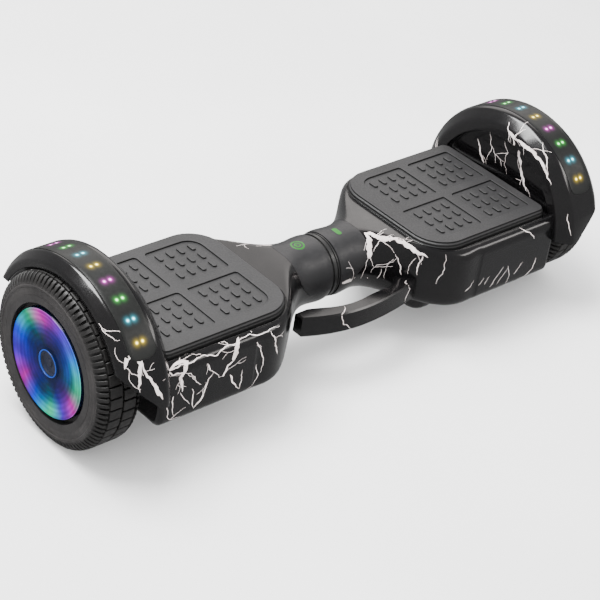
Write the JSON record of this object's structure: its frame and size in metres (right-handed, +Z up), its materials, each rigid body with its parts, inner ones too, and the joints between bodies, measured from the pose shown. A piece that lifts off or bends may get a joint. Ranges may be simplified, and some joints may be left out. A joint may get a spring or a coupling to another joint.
{
  "type": "self balancing hoverboard",
  "caption": "Self balancing board whose two halves twist about a centre pivot, with hub motor wheels, foot mats, lit fenders and a carry handle.",
  "frame": {"origin": "on the floor, midway between the wheels and between the front and the rear", "axes": "+X along the board from the left wheel to the right wheel, -Y towards the carry handle's side, +Z up"},
  "size_m": [0.624, 0.2104, 0.18],
  "materials": {
    "shell": "gloss black moulding printed with pale pink-white lightning",
    "panel": "fine matt charcoal",
    "smoked_film": "smoked satin film, lit from below by small coloured lights",
    "fender_lights": "white lamp strip, glowing in four colours",
    "board": "solder-masked circuit board",
    "cast_metal": "as-cast, fine grain",
    "steel": "machined",
    "core_iron": "stacked laminations",
    "winding": "enamelled copper wire",
    "mat_rubber": "matt dark grey rubber with a raised tread",
    "tyre_rubber": "solid black rubber",
    "magnet": "nickel plated",
    "wheel_light": "clear lens lit blue with a coloured rim",
    "hub_plastic": "dark blue-black",
    "seal_rubber": "black, slightly glossy",
    "green_light": "lit green",
    "battery_wrap": "blue shrink film over lithium cells",
    "port_plastic": "black",
    "bronze": "sintered bronze"
  },
  "bodies": {
    "left_half": {"left_upper_cover": "shell", "left_lower_cover": "shell", "left_neck_cover": "panel", "left_fender": "shell", "left_fender_lens": "smoked_film", "left_fender_light_strip": "fender_lights", "left_gyro_board": "board", "left_chassis": "cast_metal", "left_axle_clamp": "cast_metal", "left_body_screws": "steel", "left_motor_axle": "steel", "left_stator_core": "core_iron", "left_stator_coils": "winding", "pivot_shaft": "steel", "pivot_circlip": "steel", "twist_stop_pin": "steel", "centre_ring": "seal_rubber", "power_indicator": "green_light", "battery_pack": "battery_wrap", "battery_strap": "steel", "charge_socket": "port_plastic"},
    "right_half": {"right_upper_cover": "shell", "right_lower_cover": "shell", "right_neck_cover": "panel", "right_fender": "shell", "right_fender_lens": "smoked_film", "right_fender_light_strip": "fender_lights", "right_gyro_board": "board", "right_chassis": "cast_metal", "right_axle_clamp": "cast_metal", "right_body_screws": "steel", "right_motor_axle": "steel", "right_stator_core": "core_iron", "right_stator_coils": "winding", "pivot_bushes": "bronze", "battery_indicator": "green_light", "mainboard": "board", "carry_handle": "shell"},
    "left_wheel": {"left_tyre": "tyre_rubber", "left_rotor_rim": "cast_metal", "left_rotor_magnets": "magnet", "left_wheel_bearings": "steel", "left_motor_inner_cover": "cast_metal", "left_motor_outer_cover": "cast_metal", "left_wheel_light_board": "board", "left_wheel_lens": "wheel_light", "left_hub_cap": "hub_plastic"},
    "right_wheel": {"right_tyre": "tyre_rubber", "right_rotor_rim": "cast_metal", "right_rotor_magnets": "magnet", "right_wheel_bearings": "steel", "right_motor_inner_cover": "cast_metal", "right_motor_outer_cover": "cast_metal", "right_wheel_light_board": "board", "right_wheel_lens": "wheel_light", "right_hub_cap": "hub_plastic"},
    "left_mat": {"left_foot_mat": "mat_rubber"},
    "right_mat": {"right_foot_mat": "mat_rubber"},
    "power_button": {"power_button": "port_plastic"},
    "charge_cap": {"charge_cap": "seal_rubber"}
  },
  "joints": [
    {"name": "centre_twist", "type": "hinge", "parent": "left_half", "child": "right_half", "pos_m": [0, 0, 0.0825], "axis": [1, 0, 0], "range_deg": [-12, 12]},
    {"name": "left_wheel_spin", "type": "hinge", "parent": "left_half", "child": "left_wheel", "pos_m": [-0.288, 0, 0.0825], "axis": [1, 0, 0], "continuous": true},
    {"name": "right_wheel_spin", "type": "hinge", "parent": "right_half", "child": "right_wheel", "pos_m": [0.288, 0, 0.0825], "axis": [1, 0, 0], "continuous": true},
    {"name": "left_mat_press", "type": "slide", "parent": "left_half", "child": "left_mat", "axis": [0, 0, -1], "range_m": [0, 0.0015], "stiffness_N_per_m": 8000, "springref_m": -0.001},
    {"name": "right_mat_press", "type": "slide", "parent": "right_half", "child": "right_mat", "axis": [0, 0, -1], "range_m": [0, 0.0015], "stiffness_N_per_m": 8000, "springref_m": -0.001},
    {"name": "power_button_press", "type": "slide", "parent": "right_half", "child": "power_button", "axis": [0, -1, 0], "range_m": [0, 0.0015], "stiffness_N_per_m": 600, "springref_m": -0.0005},
    {"name": "charge_cap_hinge", "type": "hinge", "parent": "left_half", "child": "charge_cap", "pos_m": [-0.15, 0.0891, 0.074], "axis": [1, 0, 0], "range_deg": [0, 110]}
  ]
}
